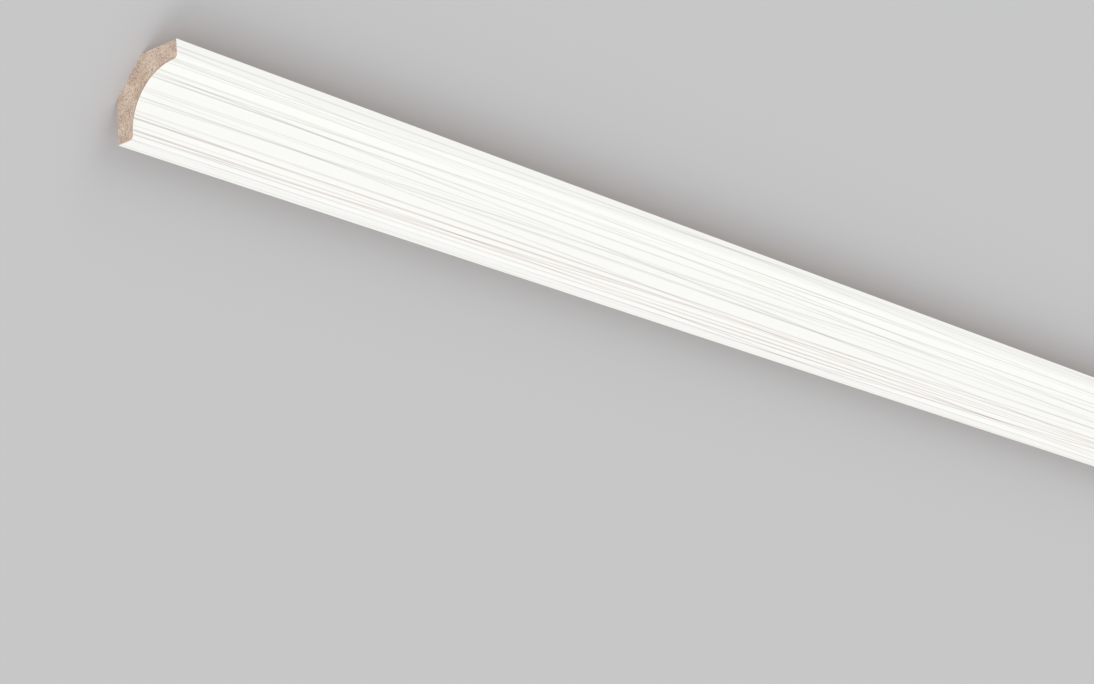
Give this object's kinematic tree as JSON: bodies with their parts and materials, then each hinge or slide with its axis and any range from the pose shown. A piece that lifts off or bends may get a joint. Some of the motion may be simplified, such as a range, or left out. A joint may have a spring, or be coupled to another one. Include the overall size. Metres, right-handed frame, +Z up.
{
  "type": "cove moulding",
  "caption": "Long ceiling cove moulding: fibreboard strip with a concave show face under white fine-line decor foil, square lips and a flat across its back.",
  "frame": {"origin": "middle of the flat across the back, at mid-length, on the floor that the strip lies on", "axes": "+X along the length, +Z up out of the hollow, +Y from the wall lip to the ceiling lip"},
  "size_m": [2.38, 0.0594, 0.0226],
  "materials": {
    "raw_fibreboard": "raw medium density fibreboard, sawn at the ends and milled on the back",
    "white_decor_foil": "satin white decor foil with fine grey lines along the length"
  },
  "bodies": {
    "root": {"mdf_core": "raw_fibreboard", "decor_foil": "white_decor_foil"}
  },
  "joints": []
}
